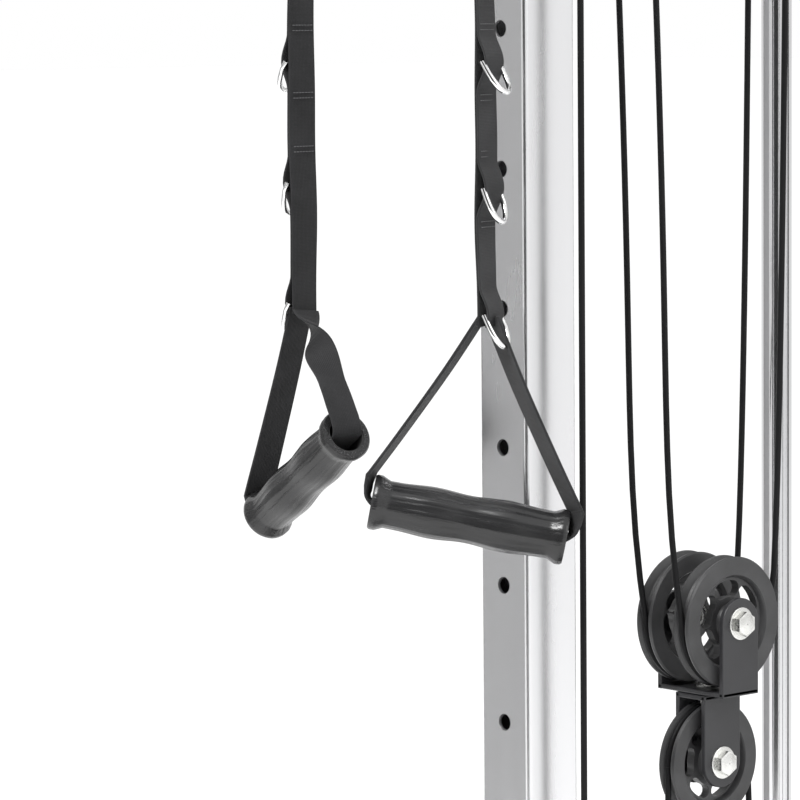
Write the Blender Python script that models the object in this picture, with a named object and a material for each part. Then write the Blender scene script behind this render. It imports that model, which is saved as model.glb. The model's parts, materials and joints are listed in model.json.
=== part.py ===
"""Functional trainer: a single-stack cable machine with an adjustable carriage on a perforated column.

Run with: blender --background --python part.py
Metres, +Z up. The user stands on the -Y side. The origin is on the floor, at the middle of the base.
"""
import bpy
import bmesh
from math import cos, pi, radians, sin
from mathutils import Matrix, Vector

# ---- driving dimensions ----
GAP = 0.0003                    # clearance between pieces that touch
BASE_WIDTH = 0.80
BASE_DEPTH = 0.88
TUBE = 0.0508                   # square tube of the front column
BAR = 0.050                     # square tube of the rest of the frame
WALL = 0.003
COLUMN_Y = -0.22                # centre of the front column
COLUMN_TOP = 2.040
BEAM_LOW = 2.050                # underside of the top beam
CROSS_REAR_Y = COLUMN_Y + 0.10  # rear face of the front cross member
CHEEK_HALF = 0.018              # half the width of a pulley's side plates
CHEEK_THICK = 0.004
HOLE_RADIUS = 0.0062
HOLE_PITCH = 0.1016
FIRST_HOLE = 0.3014
HOLE_COUNT = 15
CABLE_RADIUS = 0.0024

# pulleys: radius at the cable's centre line; the flange stands RIM above it
RIM = 0.003
R_MAIN = 0.0475
R_LOWER = 0.0435
R_SWIVEL = 0.034
GROOVE_PLAY = 0.0014            # room under the cable for its straight facets
HUB_WIDTH = 0.018
RIM_WIDTH = 0.016
AXLE = 0.0060
BORE = 0.0064
PULLEY_SIDES = 16

# cable geometry: distances behind the column centre
TOP_Z = 1.960                   # axis height of the top pulleys
BASE_Z = 0.135                  # axis height of the base pulleys
PAIR_X = 0.0195                 # half the distance between the two upper block pulleys
SWIVEL_X = 0.100
SWIVEL_Y = COLUMN_Y - 0.023
LEAN_TOP_Y = COLUMN_Y + 0.082   # where the front block strands leave the top pulleys
BLOCK_Y = COLUMN_Y + 0.188
BLOCK_UPPER_Z = 0.8635
BLOCK_LOWER_Z = 0.7535
REAR_AXLE_Y = COLUMN_Y + 0.310
STACK_Y = COLUMN_Y + 0.440
STACK_AXLE_Y = STACK_Y + R_MAIN
WEB_MEET = 0.8073               # where the two yokes' webs lie on each other
ONE_PULLEY = 0.0115             # from a pulley's middle to its side plate
THREE_PULLEYS = 0.0365          # the same for three pulleys on one axle
PAN_HALF = 0.1747
ANCHOR_TOP = 0.078              # top of the stud that holds the stack cable's end
RETURN_X = 0.046
RETURN_Y = COLUMN_Y + 0.011

# carriage and swivels
PIN_Z = FIRST_HOLE + HOLE_PITCH * (HOLE_COUNT - 1)
SLEEVE_INNER = TUBE / 2 + 0.0006
SLEEVE_OUTER = SLEEVE_INNER + 0.0050
SLEEVE_LOW = PIN_Z - 0.060
SLEEVE_HIGH = PIN_Z + 0.060
ARM_LOW = PIN_Z + 0.012
ARM_HIGH = PIN_Z + 0.042
PIVOT_OUTER = 0.0110
PIVOT_INNER = 0.0060
SWIVEL_PULLEY_Z = ARM_LOW - 0.012 - R_SWIVEL - RIM
HANG_REACH = 0.0825             # from the swivel axis to the hanging handle
BALL_REACH = 0.070              # from the swivel axis to the ball stop
BALL_RADIUS = 0.0115
HOOK_RADIUS = 0.0045
PIN_TRAVEL = 0.010              # how far the pull pin goes in from where it is held out
LUG_TOP = SLEEVE_LOW + 0.022
LUG_BORE = 0.0036

# handles: yaw is how far a swivel is turned from straight ahead towards -X, drop is the height of the
# sling's triangle over the grip, and apex is how far its top is off the middle of the grip, along it
SIDES = {
    "left": {
        "sign": -1, "yaw": 47.0, "grip_dir": (0.985, -0.173), "tilt": -31.0, "drop": 0.1054, "apex": 0.0634,
    },
    "right": {
        "sign": 1, "yaw": 55.0, "grip_dir": (0.680, 0.733), "tilt": 11.0, "drop": 0.1400, "apex": -0.013,
    },
}
HOOK_BOTTOM = 1.580
HOOK_PLAY = 0.0045              # room for the strap's top edge to swing under the hook
RING_Z = 1.110                  # lowest ring, where the strap splits into the sling
RING_PLAY = 0.0035              # slack between the strap's end and the sling's apex
WEB_WIDTH = 0.0254
WEB_THICK = 0.0026
SLING_WIDTH = 0.019
GRIP_LENGTH = 0.142
GRIP_RADIUS = 0.0175
GRIP_BORE = 0.0145

# weight stack
ROD_X = 0.165
ROD_RADIUS = 0.0127
ROD_HOLE = 0.0136
ROD_TOP = 1.880
SHELF_TOP = 0.200
PLATE_PAIRS = 5
PAIR_THICK = 0.038
STACK_WIDTH = 0.400
STACK_DEPTH = 0.110
HEAD_THICK = 0.032
STEM_HEIGHT = 0.036
PIN_PAIR = 2                    # the pair of plates that the selector pin is in

X_AXIS = Vector((1, 0, 0))
Y_AXIS = Vector((0, 1, 0))
Z_AXIS = Vector((0, 0, 1))


# ---- materials ----
def material(name, colour, roughness, metallic):
    mat = bpy.data.materials.new(name)
    mat.use_nodes = True
    shader = mat.node_tree.nodes["Principled BSDF"]
    shader.inputs["Base Color"].default_value = (*colour, 1)
    shader.inputs["Roughness"].default_value = roughness
    shader.inputs["Metallic"].default_value = metallic
    return mat


def make_materials():
    return {
        "chrome": material("chrome", (0.72, 0.72, 0.73), 0.15, 1.0),
        "paint": material("black_paint", (0.03, 0.03, 0.032), 0.45, 0.0),
        "nylon": material("black_nylon", (0.05, 0.05, 0.052), 0.50, 0.0),
        "cable": material("cable_sheath", (0.015, 0.015, 0.016), 0.35, 0.0),
        "steel": material("zinc_steel", (0.62, 0.62, 0.63), 0.30, 1.0),
        "webbing": material("webbing", (0.04, 0.04, 0.042), 0.85, 0.0),
        "rubber": material("rubber", (0.06, 0.06, 0.06), 0.70, 0.0),
        "iron": material("cast_iron", (0.09, 0.09, 0.095), 0.60, 0.0),
    }


# ---- modelling helpers ----
def add_mesh(name, bm, mat, smooth=False):
    bmesh.ops.recalc_face_normals(bm, faces=bm.faces)
    if bm.calc_volume(signed=True) < 0:
        bmesh.ops.reverse_faces(bm, faces=bm.faces)
    mesh = bpy.data.meshes.new(name)
    bm.to_mesh(mesh)
    bm.free()
    if smooth:
        mesh.shade_smooth()
        mesh.set_sharp_from_angle(angle=radians(35))
    obj = bpy.data.objects.new(name, mesh)
    bpy.context.collection.objects.link(obj)
    if mat:
        mesh.materials.append(mat)
    return obj


def frame_matrix(origin, x_dir, y_dir, z_dir):
    rot = Matrix((x_dir, y_dir, z_dir)).transposed().to_4x4()
    return Matrix.Translation(origin) @ rot


def box(name, low, high, mat=None):
    bm = bmesh.new()
    bmesh.ops.create_cube(bm, size=1)
    size = [b - a for a, b in zip(low, high)]
    middle = [(a + b) / 2 for a, b in zip(low, high)]
    bmesh.ops.scale(bm, vec=size, verts=bm.verts)
    bmesh.ops.translate(bm, vec=middle, verts=bm.verts)
    return add_mesh(name, bm, mat)


def extrusion(name, outline, length, place, mat=None, smooth=False):
    """A closed outline in local XY, extruded along local +Z, then moved by the matrix place."""
    bm = bmesh.new()
    face = bm.faces.new([bm.verts.new((x, y, 0)) for x, y in outline])
    result = bmesh.ops.extrude_face_region(bm, geom=[face])
    moved = [v for v in result["geom"] if isinstance(v, bmesh.types.BMVert)]
    bmesh.ops.translate(bm, vec=(0, 0, length), verts=moved)
    bm.transform(place)
    return add_mesh(name, bm, mat, smooth)


def turned(name, profile, place, mat=None, sides=PULLEY_SIDES):
    """A closed profile of (radius, height) points, turned about local Z."""
    bm = bmesh.new()
    rings = []
    for k in range(sides):
        turn = 2 * pi * k / sides
        rings.append([bm.verts.new((r * cos(turn), r * sin(turn), h)) for r, h in profile])
    count = len(profile)
    for k in range(sides):
        here, ahead = rings[k], rings[(k + 1) % sides]
        for i in range(count):
            j = (i + 1) % count
            bm.faces.new((here[i], here[j], ahead[j], ahead[i]))
    bmesh.ops.remove_doubles(bm, verts=bm.verts, dist=1e-6)
    bm.transform(place)
    return add_mesh(name, bm, mat, smooth=True)


def rod(name, start, end, radius, mat=None, sides=12):
    start, end = Vector(start), Vector(end)
    along = end - start
    bm = bmesh.new()
    depth = along.length
    bmesh.ops.create_cone(bm, cap_ends=True, segments=sides, radius1=radius, radius2=radius, depth=depth)
    turn = along.to_track_quat("Z", "Y").to_matrix().to_4x4()
    bm.transform(Matrix.Translation((start + end) / 2) @ turn)
    return add_mesh(name, bm, mat, smooth=True)


def rounded_square(half, radius, steps=3):
    points = []
    for corner in range(4):
        turn = corner * pi / 2
        cx = (half - radius) * (1 if corner in (0, 3) else -1)
        cy = (half - radius) * (1 if corner in (0, 1) else -1)
        for k in range(steps + 1):
            a = turn + pi / 2 * k / steps
            points.append((cx + radius * cos(a), cy + radius * sin(a)))
    return points


def use_as_tool(obj):
    obj.hide_render = True
    obj.display_type = "WIRE"
    return obj


def boolean(target, tool, operation):
    use_as_tool(tool)
    step = target.modifiers.new(operation.lower(), "BOOLEAN")
    step.operation = operation
    step.solver = "EXACT"
    step.object = tool
    return target


def weld(target, pieces):
    for piece in pieces:
        boolean(target, piece, "UNION")
    return target


def cut(target, tools):
    for tool in tools:
        boolean(target, tool, "DIFFERENCE")
    return target


def tube_between(name, low, high, axis, mat, radius=0.003):
    """A solid bar with rounded long edges that fills the box low..high along the axis letter."""
    size = [b - a for a, b in zip(low, high)]
    middle = Vector([(a + b) / 2 for a, b in zip(low, high)])
    index = "XYZ".index(axis)
    across = [i for i in range(3) if i != index]
    units = [X_AXIS, Y_AXIS, Z_AXIS]
    u_dir, v_dir = units[across[0]], units[across[1]]
    half = size[across[0]] / 2
    stretch = size[across[1]] / size[across[0]]
    outline = [(x, y * stretch) for x, y in rounded_square(half, radius)]
    start = middle - units[index] * size[index] / 2
    place = frame_matrix(start, u_dir, v_dir, units[index])
    return extrusion(name, outline, size[index], place, mat, smooth=True)


# ---- pulleys ----
def pulley(name, centre, axis, radius, mat):
    outer = radius + RIM
    bottom = radius - CABLE_RADIUS - GROOVE_PLAY
    hub, rim = HUB_WIDTH / 2, RIM_WIDTH / 2
    lip, seat = 0.0062, 0.0026
    profile = [
        (BORE, -hub), (outer - 0.003, -rim), (outer, -lip), (bottom, -seat),
        (bottom, seat), (outer, lip), (outer - 0.003, rim), (BORE, hub),
    ]
    place = Matrix.Translation(centre) @ Vector(axis).to_track_quat("Z", "Y").to_matrix().to_4x4()
    return turned(name, profile, place, mat)


def arc(centre, radius, from_dir, to_dir, steps, sweep=pi):
    """Points on a circle from centre + radius * from_dir, turning towards to_dir."""
    points = []
    for k in range(steps + 1):
        a = sweep * k / steps
        points.append(Vector(centre) + radius * (Vector(from_dir) * cos(a) + Vector(to_dir) * sin(a)))
    return points


def cable(name, points, mat):
    curve = bpy.data.curves.new(name, "CURVE")
    curve.dimensions = "3D"
    curve.bevel_depth = CABLE_RADIUS
    curve.bevel_resolution = 2
    curve.use_fill_caps = True
    spline = curve.splines.new("POLY")
    spline.points.add(len(points) - 1)
    for target, point in zip(spline.points, points):
        target.co = (*point, 1)
    obj = bpy.data.objects.new(name, curve)
    bpy.context.collection.objects.link(obj)
    curve.materials.append(mat)
    return obj


# ---- frame ----
def make_frame(m):
    paint = m["paint"]
    half_w, half_d = BASE_WIDTH / 2, BASE_DEPTH / 2
    for name, low_y in (("front_foot", -half_d), ("rear_foot", half_d - BAR)):
        tube_between(name, (-half_w, low_y, 0), (half_w, low_y + BAR, BAR), "X", paint)
    rail_x = 0.200
    for name, sign in (("base_rail_left", -1), ("base_rail_right", 1)):
        middle = sign * rail_x
        low = (middle - BAR / 2, -half_d + BAR + GAP, 0)
        high = (middle + BAR / 2, half_d - BAR - GAP, BAR)
        tube_between(name, low, high, "Y", paint)
    inner = rail_x - BAR / 2 - GAP
    low = (-inner, COLUMN_Y - 0.04, 0)
    tube_between("front_cross_member", low, (inner, CROSS_REAR_Y, BAR), "X", paint)
    make_column(m)
    low = (-BAR / 2, half_d - BAR, BAR + GAP)
    tube_between("rear_column", low, (BAR / 2, half_d, BEAM_LOW), "Z", paint)
    low = (-BAR / 2, COLUMN_Y - 0.08, BEAM_LOW + GAP)
    tube_between("top_beam", low, (BAR / 2, half_d, BEAM_LOW + BAR), "Y", paint)
    make_shelf(m, rail_x)
    for name, x in (("guide_rod_left", -ROD_X), ("guide_rod_right", ROD_X)):
        start, end = (x, STACK_Y, SHELF_TOP + GAP), (x, STACK_Y, ROD_TOP - GAP)
        rod(name, start, end, ROD_RADIUS, m["chrome"], 32)
    low = (-STACK_WIDTH / 2, STACK_Y - 0.03, ROD_TOP)
    bracket = box("rod_bracket", low, (STACK_WIDTH / 2, half_d - BAR - GAP, ROD_TOP + 0.008), paint)
    holes = []
    for tag, y in (("stem", STACK_Y), ("rise", STACK_Y + 2 * R_MAIN)):
        start, end = (0, y, ROD_TOP - 0.01), (0, y, ROD_TOP + 0.02)
        holes.append(rod("tool_rod_bracket_" + tag, start, end, 0.010))
    cut(bracket, holes)


def make_column(m):
    place = Matrix.Translation((0, COLUMN_Y, BAR + GAP))
    length = COLUMN_TOP - BAR - GAP
    outline = rounded_square(TUBE / 2, 0.004)
    column = extrusion("front_column", outline, length, place, m["chrome"], smooth=True)
    bore_place = Matrix.Translation((0, COLUMN_Y, 0))
    outline = rounded_square(TUBE / 2 - WALL, 0.002, 1)
    bore = extrusion("tool_column_bore", outline, COLUMN_TOP + 0.1, bore_place)
    bm = bmesh.new()
    r = HOLE_RADIUS
    for k in range(HOLE_COUNT):
        at = Matrix.Translation((0, COLUMN_Y - TUBE / 2, FIRST_HOLE + k * HOLE_PITCH))
        place = at @ Matrix.Rotation(pi / 2, 4, "X")
        bmesh.ops.create_cone(
            bm, cap_ends=True, segments=12, radius1=r, radius2=r, depth=4 * WALL, matrix=place
        )
    cut(column, [bore, add_mesh("tool_column_holes", bm, None)])


def make_shelf(m, rail_x):
    """A bridge over the base pulleys that carries the weight stack."""
    leg, top = 0.010, SHELF_TOP
    outer = rail_x + 0.020
    low = BAR + GAP
    outline = [
        (-outer, low), (-outer + leg, low), (-outer + leg, top - leg), (outer - leg, top - leg),
        (outer - leg, low), (outer, low), (outer, top), (-outer, top),
    ]
    place = frame_matrix(Vector((0, STACK_Y + 0.060, 0)), X_AXIS, Z_AXIS, -Y_AXIS)
    extrusion("stack_shelf", outline, 0.120, place, m["paint"])


def cheek_pair(tag, centre, axis, offset, low_z, high_z, half_width=CHEEK_HALF):
    """Two upright plates beside a pulley, their inner faces at offset along its axis."""
    axis = Vector(axis).normalized()
    side = Z_AXIS.cross(axis)
    low, high = low_z - centre[2], high_z - centre[2]
    outline = [(-half_width, low), (half_width, low), (half_width, high), (-half_width, high)]
    pieces = []
    for k, start in enumerate((-offset - CHEEK_THICK, offset)):
        place = frame_matrix(Vector(centre) + axis * start, side, Z_AXIS, axis)
        pieces.append(extrusion(f"tool_{tag}_cheek_{k}", outline, CHEEK_THICK, place))
    return pieces


def axle(tag, centre, axis, half_length):
    reach = Vector(axis).normalized() * half_length
    return rod(f"tool_{tag}_axle", Vector(centre) - reach, Vector(centre) + reach, AXLE)


def top_line(sign):
    """Centre, in-plane direction and cable radius of a front top pulley."""
    start = Vector((sign * SWIVEL_X, SWIVEL_Y, TOP_Z))
    end = Vector((sign * PAIR_X, LEAN_TOP_Y, TOP_Z))
    return (start + end) / 2, (end - start).normalized(), (end - start).length / 2


def make_brackets(m):
    make_top_brackets(m["paint"])
    make_base_brackets(m["paint"])


def make_top_brackets(paint):
    low, high = COLUMN_TOP + GAP, BEAM_LOW
    cheek_low, cheek_high = TOP_Z - CHEEK_HALF, low + 0.004
    front = box("top_front_bracket", (-0.105, COLUMN_Y - 0.06, low), (0.105, COLUMN_Y + 0.105, high), paint)
    pieces = []
    for name, data in SIDES.items():
        centre, along, _ = top_line(data["sign"])
        normal = along.cross(Z_AXIS)
        pieces += cheek_pair("top_" + name, centre, normal, ONE_PULLEY, cheek_low, cheek_high)
        pieces.append(axle("top_" + name, centre, normal, ONE_PULLEY + 0.0075))
    weld(front, pieces)
    start, end = (-0.045, REAR_AXLE_Y - 0.03, low), (0.045, STACK_AXLE_Y + 0.03, high)
    rear = box("top_rear_bracket", start, end, paint)
    pieces = []
    for tag, y in (("top_rear", REAR_AXLE_Y), ("top_stack", STACK_AXLE_Y)):
        centre = Vector((0, y, TOP_Z))
        pieces += cheek_pair(tag, centre, X_AXIS, THREE_PULLEYS, cheek_low, cheek_high)
        pieces.append(axle(tag, centre, X_AXIS, THREE_PULLEYS + 0.0075))
    weld(rear, pieces)


def make_base_brackets(paint):
    pan_low, pan_high = 0.0405, BAR
    cheek_low, cheek_high = pan_high - 0.004, BASE_Z + CHEEK_HALF
    low = (-PAN_HALF, CROSS_REAR_Y + GAP, pan_low)
    pan = box("base_pulley_frame", low, (PAN_HALF, STACK_AXLE_Y + 0.06, pan_high), paint)
    pieces = []
    for tag, y in (("base_rear", REAR_AXLE_Y), ("base_stack", STACK_AXLE_Y)):
        centre = Vector((0, y, BASE_Z))
        pieces += cheek_pair(tag, centre, X_AXIS, THREE_PULLEYS, cheek_low, cheek_high)
        pieces.append(axle(tag, centre, X_AXIS, THREE_PULLEYS + 0.0075))
    anchor_y = BLOCK_Y - R_LOWER
    pieces.append(rod("tool_anchor_stud", (0, anchor_y, cheek_low), (0, anchor_y, ANCHOR_TOP), 0.007))
    weld(pan, pieces)
    axle_y = RETURN_Y + R_MAIN
    low = (-0.075, axle_y - 0.022, BAR + GAP)
    fork = box("base_front_bracket", low, (0.075, axle_y + 0.022, BAR + 0.008), paint)
    pieces = []
    for name, data in SIDES.items():
        centre = Vector((data["sign"] * RETURN_X, axle_y, BASE_Z))
        pieces += cheek_pair("base_" + name, centre, X_AXIS, ONE_PULLEY, BAR + 0.004, cheek_high)
        pieces.append(axle("base_" + name, centre, X_AXIS, ONE_PULLEY + 0.0075))
    weld(fork, pieces)


# ---- floating block ----
def yoke(name, axle_z, offset, cheeks, web_heights, mat):
    """Two side plates round the pulleys, the web that joins them at one end, and the axle."""
    centre = Vector((0, BLOCK_Y, axle_z))
    outer = offset + CHEEK_THICK + 0.0006
    low = (-outer, BLOCK_Y - 0.0200, web_heights[0])
    web = box(name, low, (outer, BLOCK_Y + 0.0200, web_heights[1]), mat)
    pieces = cheek_pair(name, centre, X_AXIS, offset, *cheeks, 0.0195)
    pieces.append(axle(name, centre, X_AXIS, outer + 0.005))
    return weld(web, pieces)


def make_block(m):
    upper = (WEB_MEET + 0.0017, BLOCK_UPPER_Z + 0.020)
    yoke("block_upper_yoke", BLOCK_UPPER_Z, 0.0305, upper, (WEB_MEET + 0.0002, WEB_MEET + 0.0044), m["paint"])
    lower = (BLOCK_LOWER_Z - 0.020, WEB_MEET - 0.0013)
    yoke("block_lower_yoke", BLOCK_LOWER_Z, 0.0112, lower, (WEB_MEET - 0.0045, WEB_MEET - 0.0001), m["paint"])


def make_pulleys(m):
    nylon = m["nylon"]
    for name, data in SIDES.items():
        sign = data["sign"]
        pair = sign * PAIR_X
        centre, along, radius = top_line(sign)
        pulley(f"top_front_pulley_{name}", centre, along.cross(Z_AXIS), radius, nylon)
        pulley(f"block_pulley_{name}", (pair, BLOCK_Y, BLOCK_UPPER_Z), X_AXIS, R_MAIN, nylon)
        pulley(f"top_rear_pulley_{name}", (pair, REAR_AXLE_Y, TOP_Z), X_AXIS, R_MAIN, nylon)
        pulley(f"base_rear_pulley_{name}", (pair, REAR_AXLE_Y, BASE_Z), X_AXIS, R_MAIN, nylon)
        centre = (sign * RETURN_X, RETURN_Y + R_MAIN, BASE_Z)
        pulley(f"base_front_pulley_{name}", centre, X_AXIS, R_MAIN, nylon)
    pulley("block_pulley_lower", (0, BLOCK_Y, BLOCK_LOWER_Z), X_AXIS, R_LOWER, nylon)
    pulley("base_pulley_front", (0, REAR_AXLE_Y, BASE_Z), X_AXIS, R_MAIN, nylon)
    pulley("base_pulley_rear", (0, STACK_AXLE_Y, BASE_Z), X_AXIS, R_MAIN, nylon)
    pulley("stack_top_pulley", (0, STACK_AXLE_Y, TOP_Z), X_AXIS, R_MAIN, nylon)


# ---- cables ----
def handle_cable(name, sign, mat):
    """From above the swivel over the top, through the block, and back up to the carriage's lug."""
    up = Z_AXIS
    x = sign * PAIR_X
    centre, along, radius = top_line(sign)
    points = [Vector((sign * SWIVEL_X, SWIVEL_Y, ARM_HIGH + 0.010))]
    points += arc(centre, radius, -along, up, 8)
    points += arc((x, BLOCK_Y, BLOCK_UPPER_Z), R_MAIN, -Y_AXIS, -up, 8)
    points += arc((x, REAR_AXLE_Y, TOP_Z), R_MAIN, -Y_AXIS, up, 8)
    points += arc((x, REAR_AXLE_Y, BASE_Z), R_MAIN, Y_AXIS, -up, 4, pi / 2)
    points += arc((sign * RETURN_X, RETURN_Y + R_MAIN, BASE_Z), R_MAIN, -up, -Y_AXIS, 4, pi / 2)
    points.append(Vector((sign * RETURN_X, RETURN_Y, SLEEVE_LOW - GAP)))
    return cable(name, points, mat)


def stack_cable(mat):
    up = Z_AXIS
    points = [Vector((0, BLOCK_Y - R_LOWER, ANCHOR_TOP + GAP))]
    points += arc((0, BLOCK_Y, BLOCK_LOWER_Z), R_LOWER, -Y_AXIS, up, 8)
    points += arc((0, REAR_AXLE_Y, BASE_Z), R_MAIN, -Y_AXIS, -up, 4, pi / 2)
    points += arc((0, STACK_AXLE_Y, BASE_Z), R_MAIN, -up, Y_AXIS, 4, pi / 2)
    points += arc((0, STACK_AXLE_Y, TOP_Z), R_MAIN, Y_AXIS, up, 8)
    points.append(Vector((0, STACK_Y, head_top() + STEM_HEIGHT + GAP)))
    return cable("stack_cable", points, mat)


def head_top():
    return SHELF_TOP + PLATE_PAIRS * PAIR_THICK + HEAD_THICK


# ---- carriage ----
def make_carriage(m):
    place = Matrix.Translation((0, COLUMN_Y, SLEEVE_LOW))
    length = SLEEVE_HIGH - SLEEVE_LOW
    sleeve = extrusion("carriage", rounded_square(SLEEVE_OUTER, 0.005), length, place, m["paint"], True)
    root = SLEEVE_OUTER - 0.002
    parts = []
    tools = []
    for name, data in SIDES.items():
        sign = data["sign"]
        inner, outer = sorted((sign * root, sign * (SWIVEL_X + 0.020)))
        low, high = (inner, SWIVEL_Y - 0.020, ARM_LOW), (outer, SWIVEL_Y + 0.020, ARM_HIGH)
        parts.append(box("tool_arm_" + name, low, high))
        inner, outer = sorted((sign * root, sign * (RETURN_X + 0.009)))
        low, high = (inner, RETURN_Y - 0.011, SLEEVE_LOW), (outer, RETURN_Y + 0.011, LUG_TOP)
        parts.append(box("tool_lug_" + name, low, high))
        x = sign * SWIVEL_X
        start, end = (x, SWIVEL_Y, ARM_LOW - 0.01), (x, SWIVEL_Y, ARM_HIGH + 0.01)
        tools.append(rod("tool_swivel_bore_" + name, start, end, PIVOT_OUTER + 0.0006))
        x = sign * RETURN_X
        start, end = (x, RETURN_Y, SLEEVE_LOW - 0.01), (x, RETURN_Y, LUG_TOP + 0.01)
        tools.append(rod("tool_lug_bore_" + name, start, end, LUG_BORE))
    front = COLUMN_Y - SLEEVE_OUTER
    parts.append(rod("tool_pin_boss", (0, front + 0.002, PIN_Z), (0, front - 0.024, PIN_Z), 0.0115))
    weld(sleeve, parts)
    place = Matrix.Translation((0, COLUMN_Y, SLEEVE_LOW - 0.05))
    bore = extrusion("tool_sleeve_bore", rounded_square(SLEEVE_INNER, 0.004), length + 0.1, place)
    tools.append(rod("tool_pin_bore", (0, COLUMN_Y, PIN_Z), (0, front - 0.03, PIN_Z), 0.0056))
    cut(sleeve, [bore, *tools])
    tip = COLUMN_Y - TUBE / 2 - 0.001
    knob = front - 0.026 - PIN_TRAVEL
    pin = rod("pull_pin", (0, tip, PIN_Z), (0, knob - 0.004, PIN_Z), 0.0050, m["steel"])
    weld(pin, [rod("tool_pin_knob", (0, knob, PIN_Z), (0, knob - 0.026, PIN_Z), 0.0160)])


def make_swivel(name, data, m):
    yaw = radians(data["yaw"])
    out = Vector((-sin(yaw), -cos(yaw), 0))
    top = Vector((data["sign"] * SWIVEL_X, SWIVEL_Y, 0))
    centre = top + out * R_SWIVEL + Z_AXIS * SWIVEL_PULLEY_Z
    normal = out.cross(Z_AXIS)
    roof_low, roof_high = ARM_LOW - 0.006, ARM_LOW - GAP
    place = frame_matrix(top + Z_AXIS * roof_low, out, -normal, Z_AXIS)
    rear, front, side = -0.016, R_SWIVEL + 0.018, 0.0165
    outline = [(rear, -side), (front, -side), (front, side), (rear, side)]
    fork = extrusion("swivel_" + name, outline, roof_high - roof_low, place, m["paint"])
    cheeks = (SWIVEL_PULLEY_Z - 0.016, roof_low + 0.003)
    pieces = cheek_pair("swivel_" + name, centre, normal, ONE_PULLEY, *cheeks, 0.017)
    pieces.append(axle("swivel_" + name, centre, normal, ONE_PULLEY + 0.0065))
    start, end = top + Z_AXIS * (roof_low + 0.002), top + Z_AXIS * (ARM_HIGH + 0.004)
    pieces.append(rod("tool_pivot_" + name, start, end, PIVOT_OUTER))
    weld(fork, pieces)
    start, end = top + Z_AXIS * (roof_low - 0.01), top + Z_AXIS * (ARM_HIGH + 0.02)
    cut(fork, [rod("tool_pivot_hole_" + name, start, end, PIVOT_INNER)])
    pulley("swivel_pulley_" + name, centre, normal, R_SWIVEL, m["nylon"])
    bottom = SWIVEL_PULLEY_Z - R_SWIVEL
    tail = [top + Z_AXIS * (ARM_HIGH + 0.0097)]
    tail += arc(centre, R_SWIVEL, -out, -Z_AXIS, 4, pi / 2)
    tail.append(top + out * (BALL_REACH - BALL_RADIUS - 0.0005) + Z_AXIS * bottom)
    cable("cable_tail_" + name, tail, m["cable"])
    make_hook(name, top, out, bottom, m)


def make_hook(name, top, out, bottom, m):
    """The ball stop on the cable's end, and the snap hook below it as a plain bar."""
    bm = bmesh.new()
    bmesh.ops.create_uvsphere(bm, u_segments=12, v_segments=8, radius=BALL_RADIUS)
    bm.transform(Matrix.Translation(top + out * BALL_REACH + Z_AXIS * bottom))
    ball = add_mesh("cable_stop_" + name, bm, m["nylon"], smooth=True)
    hang = top + out * HANG_REACH
    start, end = hang + Z_AXIS * HOOK_BOTTOM, hang + Z_AXIS * (bottom + 0.004)
    weld(ball, [rod("tool_hook_bar_" + name, start, end, HOOK_RADIUS)])


# ---- handles ----
def make_handle(name, data, m):
    yaw = radians(data["yaw"])
    out = Vector((-sin(yaw), -cos(yaw), 0))
    hang = Vector((data["sign"] * SWIVEL_X, SWIVEL_Y, 0)) + out * HANG_REACH
    low = (hang.x - WEB_THICK / 2, hang.y - WEB_WIDTH / 2, RING_Z)
    high = (hang.x + WEB_THICK / 2, hang.y + WEB_WIDTH / 2, HOOK_BOTTOM - HOOK_PLAY)
    box("strap_" + name, low, high, m["webbing"])
    grip_dir = Vector((*data["grip_dir"], 0)).normalized()
    across = Z_AXIS.cross(grip_dir)
    tilt = Matrix.Rotation(radians(data["tilt"]), 4, across)
    top = Matrix.Translation(hang + Z_AXIS * (RING_Z - RING_PLAY))
    apex, drop = data["apex"], data["drop"]
    shift = Matrix.Translation((-apex, 0, 0))
    place = top @ tilt @ frame_matrix(Vector(), grip_dir, across, Z_AXIS) @ shift
    make_sling(name, apex, drop, place, m["webbing"])
    end = GRIP_LENGTH / 2
    r, b = GRIP_RADIUS, GRIP_BORE
    lip = r + 0.0025
    profile = [
        (b, -end), (lip, -end), (lip, -end + 0.006), (r, -end + 0.012), (r + 0.0015, 0),
        (r, end - 0.012), (lip, end - 0.006), (lip, end), (b, end),
    ]
    along = Matrix.Translation((0, 0, -drop)) @ Matrix.Rotation(pi / 2, 4, "Y")
    turned("grip_" + name, profile, place @ along, m["rubber"], 20)


def make_sling(name, apex, drop, place, mat):
    """A closed band with five corners, which runs through the grip. Local +X is along the grip."""
    half = GRIP_LENGTH / 2 + 0.004
    t = WEB_THICK
    knee = GRIP_RADIUS + 0.006 - drop
    foot = -drop - t / 2
    outer = [
        (apex - 0.004, 0), (apex + 0.004, 0), (half, knee + 0.001),
        (half, foot), (-half, foot), (-half, knee + 0.001),
    ]
    inner = [(apex, -0.006), (half - t, knee), (half - t, foot + t), (t - half, foot + t), (t - half, knee)]
    upright = Matrix.Rotation(pi / 2, 4, "X")
    across = Matrix.Translation((0, SLING_WIDTH / 2, 0)) @ upright
    sling = extrusion("sling_" + name, outer, SLING_WIDTH, place @ across, mat)
    deeper = Matrix.Translation((0, SLING_WIDTH / 2 + 0.01, 0)) @ upright
    cut(sling, [extrusion("tool_sling_gap_" + name, inner, SLING_WIDTH + 0.02, place @ deeper)])


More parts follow.
